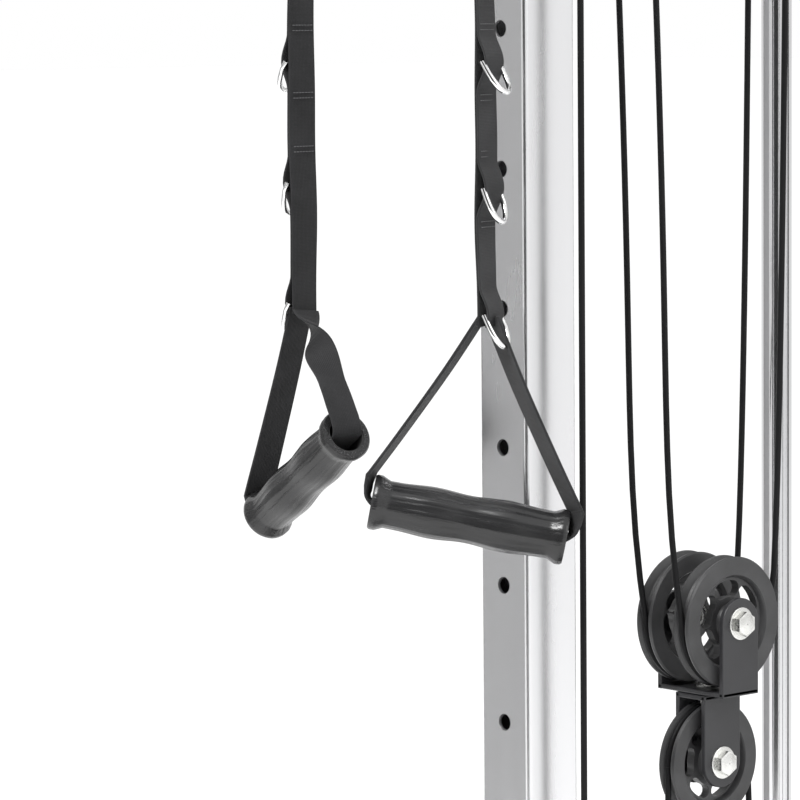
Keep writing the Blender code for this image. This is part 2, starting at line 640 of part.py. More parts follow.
# ---- weight stack ----
def stack_slab(name, low_z, high_z, mat):
    low = (-STACK_WIDTH / 2, STACK_Y - STACK_DEPTH / 2, low_z)
    high = (STACK_WIDTH / 2, STACK_Y + STACK_DEPTH / 2, high_z)
    slab = box(name, low, high, mat)
    tools = []
    for k, x in enumerate((-ROD_X, ROD_X)):
        start, end = (x, STACK_Y, low_z - 0.01), (x, STACK_Y, high_z + 0.05)
        tools.append(rod(f"tool_{name}_hole_{k}", start, end, ROD_HOLE))
    return slab, tools


def make_stack(m):
    front = STACK_Y - STACK_DEPTH / 2
    pin_z = 0
    for k in range(PLATE_PAIRS):
        number = PLATE_PAIRS - k
        low = SHELF_TOP + k * PAIR_THICK + GAP
        slab, tools = stack_slab(f"weight_plates_{number}", low, low + PAIR_THICK - GAP, m["iron"])
        if number == PIN_PAIR:
            pin_z = low + PAIR_THICK / 2
            start, end = (0, front - 0.01, pin_z), (0, front + 0.070, pin_z)
            tools.append(rod("tool_pin_socket", start, end, 0.0060))
        cut(slab, tools)
    low = SHELF_TOP + PLATE_PAIRS * PAIR_THICK + GAP
    slab, tools = stack_slab("head_plate", low, head_top(), m["iron"])
    start, end = (0, STACK_Y, head_top() - 0.005), (0, STACK_Y, head_top() + STEM_HEIGHT)
    stem = rod("tool_stem", start, end, 0.012)
    weld(slab, [stem])
    cut(slab, tools)
    start, end = (0, front + 0.060, pin_z), (0, front - 0.010, pin_z)
    pin = rod("selector_pin", start, end, 0.0050, m["steel"])
    start, end = (0, front - 0.004, pin_z), (0, front - 0.022, pin_z)
    weld(pin, [rod("tool_selector_knob", start, end, 0.0120)])


def main():
    for obj in list(bpy.data.objects):
        bpy.data.objects.remove(obj, do_unlink=True)
    m = make_materials()
    make_frame(m)
    make_brackets(m)
    make_pulleys(m)
    make_block(m)
    for name, data in SIDES.items():
        handle_cable("handle_cable_" + name, data["sign"], m["cable"])
    stack_cable(m["cable"])
    make_carriage(m)
    for name, data in SIDES.items():
        make_swivel(name, data, m)
        make_handle(name, data, m)
    make_stack(m)
    bpy.context.view_layer.update()


main()
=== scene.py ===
"""Looks of the functional trainer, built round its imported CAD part.

Every place comes from the CAD nodes' boxes and the joints' axes. Metres, +Z up.
"""
import json

import bmesh
import bpy
from math import cos, pi, radians, sin
from mathutils import Matrix, Vector


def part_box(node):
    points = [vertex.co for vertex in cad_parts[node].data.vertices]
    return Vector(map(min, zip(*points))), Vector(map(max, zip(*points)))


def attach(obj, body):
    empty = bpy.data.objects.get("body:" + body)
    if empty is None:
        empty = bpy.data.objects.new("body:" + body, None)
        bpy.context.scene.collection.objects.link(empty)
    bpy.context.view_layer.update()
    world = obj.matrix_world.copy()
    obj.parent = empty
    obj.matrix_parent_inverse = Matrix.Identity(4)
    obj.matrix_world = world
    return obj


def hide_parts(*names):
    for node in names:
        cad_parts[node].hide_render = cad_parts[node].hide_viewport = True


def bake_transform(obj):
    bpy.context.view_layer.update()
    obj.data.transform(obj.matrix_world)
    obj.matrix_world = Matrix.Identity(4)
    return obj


X_AXIS = Vector((1, 0, 0))
Y_AXIS = Vector((0, 1, 0))
Z_AXIS = Vector((0, 0, 1))
SIDES = ("left", "right")

# ---- sizes that the CAD part doesn't hold as boxes ----
CABLE_RADIUS = 0.0024
PULLEY_RIM = 0.003              # the flange's height above the cable's centre line
GROOVE_PLAY = 0.0003            # room under a cable in its groove
HOLE_RADIUS = 0.0062
HOLE_PITCH = 0.1016
FIRST_HOLE = 0.3014
HOLE_COUNT = 15
COLUMN_CORNER = 0.004
COLUMN_WALL = 0.003
WEB_WIDTH = 0.0254
WEB_LAYER = 0.0016
RING_PITCH = 0.090
RING_COUNT = 6
RING_WIRE = 0.0021
RING_REACH = 0.025
RING_DROOP = 64.0
POCKET_DEPTH = 0.0065
POCKET_HALF = 0.021
GRIP_HALF = 0.071
GRIP_RADIUS = 0.0175
BOLT_RADIUS = 0.0088
BLOCK_BOLT_RADIUS = 0.0096
SINGLE_REACH = 0.0156           # from a lone pulley's middle to its bolt heads
TRIPLE_REACH = 0.0406           # from the middle of the wide brackets to their bolt heads
SLACK = 0.0065                  # how far the front strands bow out of a straight line
REAR_SLACK = 0.0078

# which way each strap's width points, as a turn from +X; how far apart its sling's legs start;
# and how much the width of the right sling's two legs leans along its grip
STRAP_TURN = {"left": -86.3, "right": 108.7}
LEG_SPREAD = {"left": 0.003, "right": 0.0035}
LEG_LEAN = {-1: 0.28, 1: 0.50}

# ---- camera and studio ----
AIM = Vector((-0.035, -0.3143, 1.050))
DISTANCE = 2.9
AZIMUTH = 48.7
ELEVATION = 5.5
ROLL = -0.52
LENS = 180

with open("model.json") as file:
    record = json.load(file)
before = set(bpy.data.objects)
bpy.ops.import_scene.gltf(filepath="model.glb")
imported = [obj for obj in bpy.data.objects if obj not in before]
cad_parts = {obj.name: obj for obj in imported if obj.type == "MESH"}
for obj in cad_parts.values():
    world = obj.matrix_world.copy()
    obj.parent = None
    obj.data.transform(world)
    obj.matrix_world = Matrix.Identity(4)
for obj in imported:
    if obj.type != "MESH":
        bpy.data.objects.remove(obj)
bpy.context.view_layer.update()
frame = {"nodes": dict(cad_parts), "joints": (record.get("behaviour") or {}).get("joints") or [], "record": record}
JOINTS = {joint["child"]: joint for joint in frame["joints"]}


# ---- places ----
def pivot(body):
    return Vector(JOINTS[body]["pos_m"])


def spin_axis(body):
    return Vector(JOINTS[body]["axis"]).normalized()


def middle(node):
    low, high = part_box(node)
    return (low + high) / 2


def cable_line(node):
    """Radius of the cable's centre line on a pulley."""
    low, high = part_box(node)
    return (high.z - low.z) / 2 - PULLEY_RIM


def frame_matrix(origin, x_dir, y_dir, z_dir):
    return Matrix.Translation(origin) @ Matrix((x_dir, y_dir, z_dir)).transposed().to_4x4()


def facing(origin, direction):
    """A matrix whose +Z looks along direction."""
    return Matrix.Translation(origin) @ Vector(direction).to_track_quat("Z", "Y").to_matrix().to_4x4()


# ---- materials ----
def surface(name, colour, roughness, metallic=0.0, grain=200.0, bump=0.1, depth=0.0004, **extra):
    """Principled material with colour, roughness and bump from one noise pattern in object space.

    grain is the noise scale per metre. vary is how far the colour moves, and blotch the scale it moves at.
    A stretch below 1 makes the pattern longer along that axis.
    """
    stretch = extra.get("stretch", (1, 1, 1))
    vary = extra.get("vary", 0.25)
    mat = bpy.data.materials.new(name)
    mat.use_nodes = True
    tree = mat.node_tree
    shader = tree.nodes["Principled BSDF"]
    shader.inputs["Metallic"].default_value = metallic
    shader.inputs["Specular IOR Level"].default_value = extra.get("specular", 0.5)
    place = tree.nodes.new("ShaderNodeTexCoord")
    mapping = tree.nodes.new("ShaderNodeMapping")
    mapping.inputs["Scale"].default_value = stretch
    noise = tree.nodes.new("ShaderNodeTexNoise")
    noise.inputs["Scale"].default_value = grain
    noise.inputs["Detail"].default_value = 6
    blotches = tree.nodes.new("ShaderNodeTexNoise")
    blotches.inputs["Scale"].default_value = extra.get("blotch", 9.0)
    blotches.inputs["Detail"].default_value = 3
    ramp = tree.nodes.new("ShaderNodeValToRGB")
    ramp.color_ramp.elements[0].position = 0.3
    ramp.color_ramp.elements[1].position = 0.7
    ramp.color_ramp.elements[0].color = (*[c * (1 - vary) for c in colour], 1)
    ramp.color_ramp.elements[1].color = (*[min(1, c * (1 + vary)) for c in colour], 1)
    rough = tree.nodes.new("ShaderNodeMapRange")
    rough.inputs["To Min"].default_value = roughness * 0.8
    rough.inputs["To Max"].default_value = min(1.0, roughness * 1.25)
    raised = tree.nodes.new("ShaderNodeBump")
    raised.inputs["Strength"].default_value = bump
    raised.inputs["Distance"].default_value = depth
    link = tree.links.new
    link(place.outputs["Object"], mapping.inputs["Vector"])
    link(mapping.outputs["Vector"], noise.inputs["Vector"])
    link(mapping.outputs["Vector"], blotches.inputs["Vector"])
    link(blotches.outputs["Fac"], ramp.inputs["Fac"])
    link(ramp.outputs["Color"], shader.inputs["Base Color"])
    link(noise.outputs["Fac"], rough.inputs["Value"])
    link(rough.outputs["Result"], shader.inputs["Roughness"])
    link(noise.outputs["Fac"], raised.inputs["Height"])
    link(raised.outputs["Normal"], shader.inputs["Normal"])
    return mat


def webbing(name, colour):
    """Woven nylon band: ribs along and across, in the band's own metres (its UV map)."""
    mat = surface(name, colour, 0.66, grain=900, bump=0.2, depth=0.0002, vary=0.3, blotch=30, specular=0.22)
    tree = mat.node_tree
    shader = tree.nodes["Principled BSDF"]
    shader.inputs["Sheen Weight"].default_value = 0.08
    place = tree.nodes.new("ShaderNodeTexCoord")
    heights = []
    for direction, scale in (("X", 230.0), ("Y", 300.0)):
        wave = tree.nodes.new("ShaderNodeTexWave")
        wave.bands_direction = direction
        wave.inputs["Scale"].default_value = scale
        wave.inputs["Distortion"].default_value = 0.6
        wave.inputs["Detail"].default_value = 1
        tree.links.new(place.outputs["UV"], wave.inputs["Vector"])
        heights.append(wave)
    weave = tree.nodes.new("ShaderNodeMath")
    weave.operation = "MULTIPLY"
    for k, wave in enumerate(heights):
        tree.links.new(wave.outputs["Fac"], weave.inputs[k])
    raised = tree.nodes.new("ShaderNodeBump")
    raised.inputs["Strength"].default_value = 0.55
    raised.inputs["Distance"].default_value = 0.0004
    tree.links.new(weave.outputs["Value"], raised.inputs["Height"])
    first = next(n for n in tree.nodes if n.type == "BUMP" and n != raised)
    tree.links.new(first.outputs["Normal"], raised.inputs["Normal"])
    tree.links.new(raised.outputs["Normal"], shader.inputs["Normal"])
    return mat


CHROME = surface(
    "chrome", (0.72, 0.72, 0.73), 0.25, 1.0, grain=60, bump=0.02, stretch=(1, 1, 0.15), vary=0.04
)
ROD_CHROME = surface("rod_chrome", (0.60, 0.60, 0.61), 0.10, 1.0, grain=90, bump=0.02, vary=0.03)
RING_CHROME = surface("ring_chrome", (0.80, 0.80, 0.80), 0.12, 1.0, grain=300, bump=0.05, vary=0.05)
PAINT = surface("powder_coat", (0.022, 0.022, 0.024), 0.42, grain=1600, bump=0.35, depth=0.00015, vary=0.2)
NYLON = surface(
    "pulley_nylon", (0.030, 0.030, 0.031), 0.40, grain=700, bump=0.25, depth=0.0002, vary=0.3, blotch=40
)
CABLE = surface("cable_sheath", (0.007, 0.007, 0.0075), 0.45, grain=400, bump=0.1, vary=0.2, specular=0.12)
ZINC = surface("zinc_plate", (0.66, 0.66, 0.64), 0.27, 1.0, grain=250, bump=0.12, vary=0.16, blotch=60)
DARK_STEEL = surface("bearing_seal", (0.05, 0.05, 0.052), 0.45, grain=500, bump=0.1)
RUBBER = surface("moulded_rubber", (0.017, 0.017, 0.017), 0.55, grain=500, bump=0.2, depth=0.0003)
GRIP = surface(
    "grip_rubber", (0.012, 0.012, 0.0125), 0.26, grain=150, bump=0.8, depth=0.0014, vary=0.35, blotch=60,
    stretch=(1, 1, 0.07)
)
IRON = surface("plate_enamel", (0.040, 0.040, 0.042), 0.50, grain=260, bump=0.4, depth=0.0005, vary=0.2)
THREAD = surface("stitch_thread", (0.075, 0.075, 0.078), 0.7, grain=2000, bump=0.2, depth=0.0001)
WEBBING = webbing("webbing", (0.015, 0.015, 0.016))


# ---- mesh helpers ----
def shade(obj, bevel=0.0, segments=3):
    obj.data.shade_smooth()
    obj.data.set_sharp_from_angle(angle=radians(38))
    if bevel:
        step = obj.modifiers.new("edges", "BEVEL")
        step.width = bevel
        step.segments = segments
        step.limit_method = "ANGLE"
        step.angle_limit = radians(38)
        step.harden_normals = True
    weigh = obj.modifiers.new("flat_faces", "WEIGHTED_NORMAL")
    weigh.keep_sharp = True
    return obj


def add(name, bm, mat, body=None, stands_for=(), bevel=0.0):
    """Makes the object, gives it its finish, and lets it ride on its body."""
    bmesh.ops.recalc_face_normals(bm, faces=bm.faces)
    mesh = bpy.data.meshes.new(name)
    bm.to_mesh(mesh)
    bm.free()
    mesh.materials.append(mat)
    obj = bpy.data.objects.new(name, mesh)
    bpy.context.scene.collection.objects.link(obj)
    shade(obj, bevel)
    return settle(obj, body, stands_for)


def settle(obj, body=None, stands_for=()):
    if body:
        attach(obj, body)
    if stands_for:
        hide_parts(*stands_for)
    return obj


def add_block(bm, low, high):
    size = [b - a for a, b in zip(low, high)]
    centre = [(a + b) / 2 for a, b in zip(low, high)]
    matrix = Matrix.Translation(centre) @ Matrix.Diagonal((*size, 1))
    bmesh.ops.create_cube(bm, size=1, matrix=matrix)


def add_cylinder(bm, start, end, radius, sides=32):
    start, end = Vector(start), Vector(end)
    place = facing((start + end) / 2, end - start)
    depth = (end - start).length
    bmesh.ops.create_cone(
        bm, cap_ends=True, segments=sides, radius1=radius, radius2=radius, depth=depth, matrix=place
    )


def add_turned(bm, profile, place, sides=64):
    """A closed profile of (radius, height) points, turned about the matrix's Z."""
    rings = []
    for k in range(sides):
        turn = 2 * pi * k / sides
        rings.append([bm.verts.new(place @ Vector((r * cos(turn), r * sin(turn), h))) for r, h in profile])
    for k in range(sides):
        here, ahead = rings[k], rings[(k + 1) % sides]
        for i in range(len(profile)):
            j = (i + 1) % len(profile)
            bm.faces.new((here[i], here[j], ahead[j], ahead[i]))
    bmesh.ops.remove_doubles(bm, verts=bm.verts, dist=1e-7)


def add_extrusion(bm, outline, length, place):
    face = bm.faces.new([bm.verts.new(place @ Vector((x, y, 0))) for x, y in outline])
    result = bmesh.ops.extrude_face_region(bm, geom=[face])
    moved = [v for v in result["geom"] if isinstance(v, bmesh.types.BMVert)]
    step = (place.to_3x3() @ Z_AXIS) * length
    bmesh.ops.translate(bm, vec=step, verts=moved)


def add_tube(bm, points, radius, sides=14, closed=False):
    """A round tube along points. Its cross-section is carried along, so that it never twists."""
    points = [Vector(p) for p in points]
    count = len(points)
    tangents = []
    for i in range(count):
        before = points[(i - 1) % count] if closed or i else points[i]
        after = points[(i + 1) % count] if closed or i < count - 1 else points[i]
        tangents.append((after - before).normalized())
    helper = X_AXIS if abs(tangents[0].x) < 0.9 else Y_AXIS
    normal = tangents[0].cross(helper).normalized()
    rings = []
    for point, tangent in zip(points, tangents):
        normal = (normal - tangent * normal.dot(tangent)).normalized()
        other = tangent.cross(normal)
        ring = []
        for k in range(sides):
            turn = 2 * pi * k / sides
            ring.append(bm.verts.new(point + (normal * cos(turn) + other * sin(turn)) * radius))
        rings.append(ring)
    last = count if closed else count - 1
    for i in range(last):
        here, ahead = rings[i], rings[(i + 1) % count]
        for k in range(sides):
            j = (k + 1) % sides
            bm.faces.new((here[k], here[j], ahead[j], ahead[k]))
    if not closed:
        bm.faces.new(rings[0])
        bm.faces.new(rings[-1])


def rounded_square(half, radius, steps=6):
    points = []
    for corner in range(4):
        cx = (half - radius) * (1 if corner in (0, 3) else -1)
        cy = (half - radius) * (1 if corner in (0, 1) else -1)
        for k in range(steps + 1):
            turn = corner * pi / 2 + pi / 2 * k / steps
            points.append((cx + radius * cos(turn), cy + radius * sin(turn)))
    return points


def carve(obj, tool):
    """Cuts tool out of obj for good, and removes the tool."""
    step = obj.modifiers.new("cut", "BOOLEAN")
    step.operation = "DIFFERENCE"
    step.solver = "MANIFOLD"
    step.object = tool
    bpy.context.view_layer.update()
    graph = bpy.context.evaluated_depsgraph_get()
    mesh = bpy.data.meshes.new_from_object(obj.evaluated_get(graph))
    obj.modifiers.clear()
    obj.data = mesh
    bpy.data.objects.remove(tool, do_unlink=True)
    return obj


def raw(name, bm, mat):
    """An object with no finish and no body yet, to carve or to carve with."""
    bmesh.ops.recalc_face_normals(bm, faces=bm.faces)
    mesh = bpy.data.meshes.new(name)
    bm.to_mesh(mesh)
    bm.free()
    mesh.materials.append(mat)
    obj = bpy.data.objects.new(name, mesh)
    bpy.context.scene.collection.objects.link(obj)
    return obj


def arc(centre, radius, from_dir, to_dir, sweep=pi, steps=40):
    """Points on a circle from centre + radius * from_dir, turning towards to_dir."""
    centre, u, v = Vector(centre), Vector(from_dir), Vector(to_dir)
    turns = [sweep * k / steps for k in range(steps + 1)]
    return [centre + radius * (u * cos(turn) + v * sin(turn)) for turn in turns]


def smooth_path(knots, steps=14):
    """A smooth curve through the knots."""
    knots = [Vector(k) for k in knots]
    ends = [knots[0] * 2 - knots[1], *knots, knots[-1] * 2 - knots[-2]]
    points = []
    for i in range(1, len(ends) - 2):
        a, b, c, d = ends[i - 1:i + 3]
        for k in range(steps):
            t = k / steps
            square = (2 * a - 5 * b + 4 * c - d) * t * t
            cube = (3 * b - a - 3 * c + d) * t ** 3
            points.append(0.5 * (2 * b + (c - a) * t + square + cube))
    points.append(knots[-1])
    return points


# ---- frame: tubes, brackets, fasteners ----
def hex_bolt(bm, at, direction, radius=BOLT_RADIUS, height=0.0055):
    """Washer, hexagon head and its rounded crown, standing on at and looking along direction."""
    direction = Vector(direction).normalized()
    place = facing(at, direction)
    washer = 0.0014
    add_turned(bm, [(0.002, 0), (radius * 1.3, 0), (radius * 1.3, washer * 0.7), (radius * 1.24, washer),
                    (0.002, washer)], place, 32)
    base = Vector(at) + direction * (washer - 0.0002)
    add_cylinder(bm, base, base + direction * height, radius, 6)
    top = height + washer - 0.0002
    add_turned(bm, [(0.0005, top - 0.001), (radius * 0.84, top - 0.001), (radius * 0.84, top),
                    (radius * 0.62, top + 0.0006), (0.0005, top + 0.0007)], place, 32)


def dress_column():
    low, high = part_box("front_column")
    centre = (low + high) / 2
    half = (high.x - low.x) / 2
    bm = bmesh.new()
    rings = []
    for size, corner in ((half, COLUMN_CORNER), (half - COLUMN_WALL, COLUMN_CORNER / 2)):
        for z in (low.z, high.z):
            outline = rounded_square(size, corner)
            rings.append([bm.verts.new((centre.x + x, centre.y + y, z)) for x, y in outline])
    count = len(rings[0])
    for a, b in ((0, 1), (2, 3), (0, 2), (1, 3)):
        for k in range(count):
            j = (k + 1) % count
            bm.faces.new((rings[a][k], rings[a][j], rings[b][j], rings[b][k]))
    tube = raw("column_tube", bm, CHROME)
    holes = bmesh.new()
    for k in range(HOLE_COUNT):
        z = FIRST_HOLE + k * HOLE_PITCH
        add_cylinder(holes, (0, low.y - 0.01, z), (0, low.y + 0.01, z), HOLE_RADIUS, 40)
    carve(tube, raw("column_holes", holes, RUBBER))
    shade(tube)
    settle(tube, "frame", ["front_column"])
    lining = bmesh.new()
    for k in range(HOLE_COUNT):
        z = FIRST_HOLE + k * HOLE_PITCH
        place = facing((0, low.y, z), -Y_AXIS)
        add_turned(lining, [(HOLE_RADIUS, -0.002), (HOLE_RADIUS, 0.0001), (HOLE_RADIUS - 0.0006, -0.0006),
                            (HOLE_RADIUS - 0.0006, -0.002)], place, 40)
    add("column_hole_edges", lining, DARK_STEEL, "frame")


def dress_frame():
    painted = (
        "front_foot", "rear_foot", "base_rail_left", "base_rail_right", "front_cross_member", "rear_column",
        "top_beam", "stack_shelf", "rod_bracket", "top_front_bracket", "top_rear_bracket",
        "base_pulley_frame", "base_front_bracket", "carriage", "swivel_left", "swivel_right",
    )
    for node in painted:
        obj = frame["nodes"][node]
        obj.data.materials.clear()
        obj.data.materials.append(PAINT)
        shade(obj)
    caps = bmesh.new()
    inset, inside, proud = 0.0015, 0.004, 0.0028
    for node in ("front_foot", "rear_foot"):
        low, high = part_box(node)
        for x, sign in ((low.x, -1), (high.x, 1)):
            ends = sorted((x - sign * inside, x + sign * proud))
            cap_low = (ends[0], low.y + inset, low.z + inset)
            add_block(caps, cap_low, (ends[1], high.y - inset, high.z - inset))
    low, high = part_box("top_beam")
    for y, sign in ((low.y, -1), (high.y, 1)):
        ends = sorted((y - sign * inside, y + sign * proud))
        cap_low = (low.x + inset, ends[0], low.z + inset)
        add_block(caps, cap_low, (high.x - inset, ends[1], high.z - inset))
    add("tube_end_caps", caps, RUBBER, "frame", bevel=0.0012)
    bolts = bmesh.new()
    for node in ("base_rail_left", "base_rail_right"):
        x = middle(node).x
        for foot in ("front_foot", "rear_foot"):
            at = middle(foot)
            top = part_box(foot)[1].z
            hex_bolt(bolts, (x, at.y, top), Z_AXIS)
            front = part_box(foot)[0].y if foot == "front_foot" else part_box(foot)[1].y
            hex_bolt(bolts, (x, front, at.z), -Y_AXIS if foot == "front_foot" else Y_AXIS)
    shelf_low, shelf_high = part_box("stack_shelf")
    for x, sign in ((shelf_low.x, -1), (shelf_high.x, 1)):
        for y in (shelf_low.y + 0.025, shelf_high.y - 0.025):
            hex_bolt(bolts, (x, y, shelf_low.z + 0.03), X_AXIS * sign, 0.0070)
    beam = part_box("top_beam")
    column = middle("front_column")
    for y in (column.y - 0.015, column.y + 0.015, middle("rear_column").y):
        hex_bolt(bolts, (0, y, beam[1].z), Z_AXIS)
    rod_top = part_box("rod_bracket")[1].z
    for side in SIDES:
        rod = middle("guide_rod_" + side)
        hex_bolt(bolts, (rod.x, rod.y, rod_top), Z_AXIS, 0.0105)
    add("frame_bolts", bolts, ZINC, "frame")
    collars = bmesh.new()
    for side in SIDES:
        low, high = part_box("guide_rod_" + side)
        rod = (low + high) / 2
        radius = (high.x - low.x) / 2
        bm = bmesh.new()
        add_cylinder(bm, (rod.x, rod.y, low.z), (rod.x, rod.y, high.z), radius, 96)
        add("chrome_rod_" + side, bm, ROD_CHROME, "frame", ["guide_rod_" + side], bevel=0.0008)
        add_turned(collars, [(radius, -0.018), (radius + 0.007, -0.018), (radius + 0.008, -0.017),
                             (radius + 0.008, -0.001), (radius + 0.007, 0), (radius, 0)],
                   Matrix.Translation((rod.x, rod.y, high.z - 0.0002)))
    add("rod_collars", collars, ZINC, "frame")


# ---- pulleys ----
def kidney(bm, inner, outer, start, sweep, depth):
    """A curved slot with round ends, cut through a pulley's web."""
    mid, half = (inner + outer) / 2, (outer - inner) / 2
    points = []
    for k in range(11):
        turn = start + sweep * k / 10
        points.append((outer * cos(turn), outer * sin(turn)))
    end = start + sweep
    for k in range(1, 6):
        a = end + pi * k / 6
        points.append((mid * cos(end) + half * cos(a), mid * sin(end) + half * sin(a)))
    for k in range(11):
        turn = end - sweep * k / 10
        points.append((inner * cos(turn), inner * sin(turn)))
    for k in range(1, 6):
        a = start + pi + pi * k / 6
        points.append((mid * cos(start) + half * cos(a), mid * sin(start) + half * sin(a)))
    add_extrusion(bm, points, depth, Matrix.Translation((0, 0, -depth / 2)))


def pulley_mesh(radius):
    """V-groove sheave with raised rim, webbed middle with kidney windows, and a hub."""
    outer = radius + PULLEY_RIM
    groove = radius - CABLE_RADIUS - GROOVE_PLAY
    rim_in = outer * 0.70
    side, web, hub, hub_half = 0.0080, 0.0036, 0.0135, 0.0090
    bm = bmesh.new()
    profile = [
        (0.0112, -hub_half), (hub - 0.001, -hub_half), (hub, -hub_half + 0.001), (hub + 0.0012, -web),
        (rim_in - 0.0012, -web), (rim_in, -side + 0.0012), (rim_in + 0.0012, -side), (outer - 0.0012, -side),
        (outer, -side + 0.0014), (outer - 0.0004, -0.0052), (groove + 0.0009, -0.0022), (groove, 0),
        (groove + 0.0009, 0.0022), (outer - 0.0004, 0.0052), (outer, side - 0.0014), (outer - 0.0012, side),
        (rim_in + 0.0012, side), (rim_in, side - 0.0012), (rim_in - 0.0012, web), (hub + 0.0012, web),
        (hub, hub_half - 0.001), (hub - 0.001, hub_half), (0.0112, hub_half),
    ]
    add_turned(bm, profile, Matrix.Identity(4), 96)
    sheave = raw("sheave", bm, NYLON)
    tool = bmesh.new()
    windows = 6
    pitch = 2 * pi / windows
    off_the_facets = 0.017
    for k in range(windows):
        kidney(tool, hub + 0.0058, rim_in - 0.0030, pitch * k + off_the_facets, pitch / 2, 0.03)
    carve(sheave, raw("windows", tool, NYLON))
    sheave.data.shade_smooth()
    sheave.data.set_sharp_from_angle(angle=radians(30))
    mesh = sheave.data
    bpy.data.objects.remove(sheave)
    return mesh


def bearing_mesh():
    bm = bmesh.new()
    half = 0.0086
    for inner, outer in ((0.0094, 0.0114), (0.0050, 0.0070)):
        add_turned(bm, [(inner, -half), (outer, -half), (outer, half), (inner, half)], Matrix.Identity(4), 48)
    part = raw("bearing", bm, ZINC)
    seal = bmesh.new()
    add_turned(seal, [(0.0069, -half + 0.0007), (0.0095, -half + 0.0007), (0.0095, half - 0.0007),
                      (0.0069, half - 0.0007)], Matrix.Identity(4), 48)
    seal_part = raw("bearing_seal", seal, DARK_STEEL)
    meshes = []
    for obj in (part, seal_part):
        obj.data.shade_smooth()
        obj.data.set_sharp_from_angle(angle=radians(30))
        meshes.append(obj.data)
        bpy.data.objects.remove(obj)
    return meshes


def dress_pulleys():
    meshes = {}
    ring, seal = bearing_mesh()
    turn = 0
    for body in sorted(JOINTS):
        if "pulley" not in body:
            continue
        radius = cable_line(body)
        key = round(radius, 4)
        if key not in meshes:
            meshes[key] = pulley_mesh(radius)
        place = facing(pivot(body), spin_axis(body)) @ Matrix.Rotation(0.7 * turn, 4, "Z")
        turn += 1
        wheel = bpy.data.objects.new(body + "_sheave", meshes[key])
        bearing = bpy.data.objects.new(body + "_bearing", ring)
        cover = bpy.data.objects.new(body + "_seal", seal)
        parts = ((wheel, "nylon", [body]), (bearing, "zinc_steel", []), (cover, "black_paint", []))
        for obj, mesh_slot, hidden in parts:
            bpy.context.scene.collection.objects.link(obj)
            obj.matrix_world = place
            settle(obj, body, hidden)


def axle_bolts(bm, centre, axis, reach, radius=BOLT_RADIUS):
    """Bolt head and nut on the ends of one axle."""
    for sign in (-1, 1):
        hex_bolt(bm, Vector(centre) + Vector(axis) * reach * sign, Vector(axis) * sign, radius)


def dress_axles():
    top = bmesh.new()
    for body in ("top_front_pulley_left", "top_front_pulley_right", "base_front_pulley_left",
                 "base_front_pulley_right"):
        axle_bolts(top, pivot(body), spin_axis(body), SINGLE_REACH, 0.0075)
        spacers(top, pivot(body), spin_axis(body), 0.0090, 0.0118)
    for body in ("stack_top_pulley", "base_pulley_front", "base_pulley_rear"):
        axle_bolts(top, pivot(body), X_AXIS, TRIPLE_REACH)
        spacers(top, pivot(body), X_AXIS, 0.0090, 0.0366)
    rear = pivot("top_rear_pulley_left")
    axle_bolts(top, (0, rear.y, rear.z), X_AXIS, TRIPLE_REACH)
    add("axle_bolts", top, ZINC, "frame")
    for side in SIDES:
        bm = bmesh.new()
        body = "swivel_pulley_" + side
        axle_bolts(bm, pivot(body), spin_axis(body), SINGLE_REACH, 0.0072)
        add("swivel_bolts_" + side, bm, ZINC, "swivel_" + side)


def spacers(bm, centre, axis, start, end, radius=0.0080):
    """Sleeves that fill the axle between a pulley's bearing and its side plates."""
    centre, axis = Vector(centre), Vector(axis)
    for sign in (-1, 1):
        add_cylinder(bm, centre + axis * start * sign, centre + axis * end * sign, radius, 32)


# ---- floating block ----
def yoke_plates(name, axle_z, web_z, tip, node):
    """Two side plates with a round end at the axle, and the bent web that joins them.

    tip is 1 when the round end is up. Returns the plates' outer x and their middle y.
    """
    low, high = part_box(node)
    y = (low.y + high.y) / 2
    half_y = (high.y - low.y) / 2 - 0.0005
    thick = 0.0042
    outer = high.x - 0.0050
    bm = bmesh.new()
    outline = [(-half_y, web_z - axle_z), (-half_y, 0)]
    for k in range(1, 20):
        turn = pi - pi * k / 20
        outline.append((half_y * cos(turn), half_y * sin(turn) * tip))
    outline += [(half_y, 0), (half_y, web_z - axle_z)]
    for x in (-outer, outer - thick):
        place = frame_matrix(Vector((x, y, axle_z)), Y_AXIS, Z_AXIS, X_AXIS)
        add_extrusion(bm, outline, thick, place)
    add(name, bm, PAINT, "block", [node], bevel=0.0007)
    web = bmesh.new()
    web_low, web_high = sorted((web_z, web_z + thick * tip))
    add_block(web, (-outer, y - half_y, web_low), (outer, y + half_y, web_high))
    add(name + "_web", web, PAINT, "block", bevel=0.0012)
    return outer, y


def dress_block():
    upper = pivot("block_pulley_left")
    lower = pivot("block_pulley_lower")
    upper_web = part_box("block_upper_yoke")[0].z
    lower_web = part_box("block_lower_yoke")[1].z
    bm = bmesh.new()
    reach, y = yoke_plates("upper_yoke_plates", upper.z, upper_web, 1, "block_upper_yoke")
    axle_bolts(bm, (0, y, upper.z), X_AXIS, reach, BLOCK_BOLT_RADIUS)
    spacers(bm, (0, y, upper.z), X_AXIS, 0.0285, reach - 0.002)
    reach, y = yoke_plates("lower_yoke_plates", lower.z, lower_web, -1, "block_lower_yoke")
    axle_bolts(bm, (0, y, lower.z), X_AXIS, reach, BLOCK_BOLT_RADIUS)
    add_cylinder(bm, (0, y, lower_web - 0.010), (0, y, upper_web + 0.009), 0.0055)
    hex_bolt(bm, (0, y, upper_web + 0.0042), Z_AXIS, 0.0080)
    hex_bolt(bm, (0, y, lower_web - 0.0042), -Z_AXIS, 0.0080)
    add("block_bolts", bm, ZINC, "block")


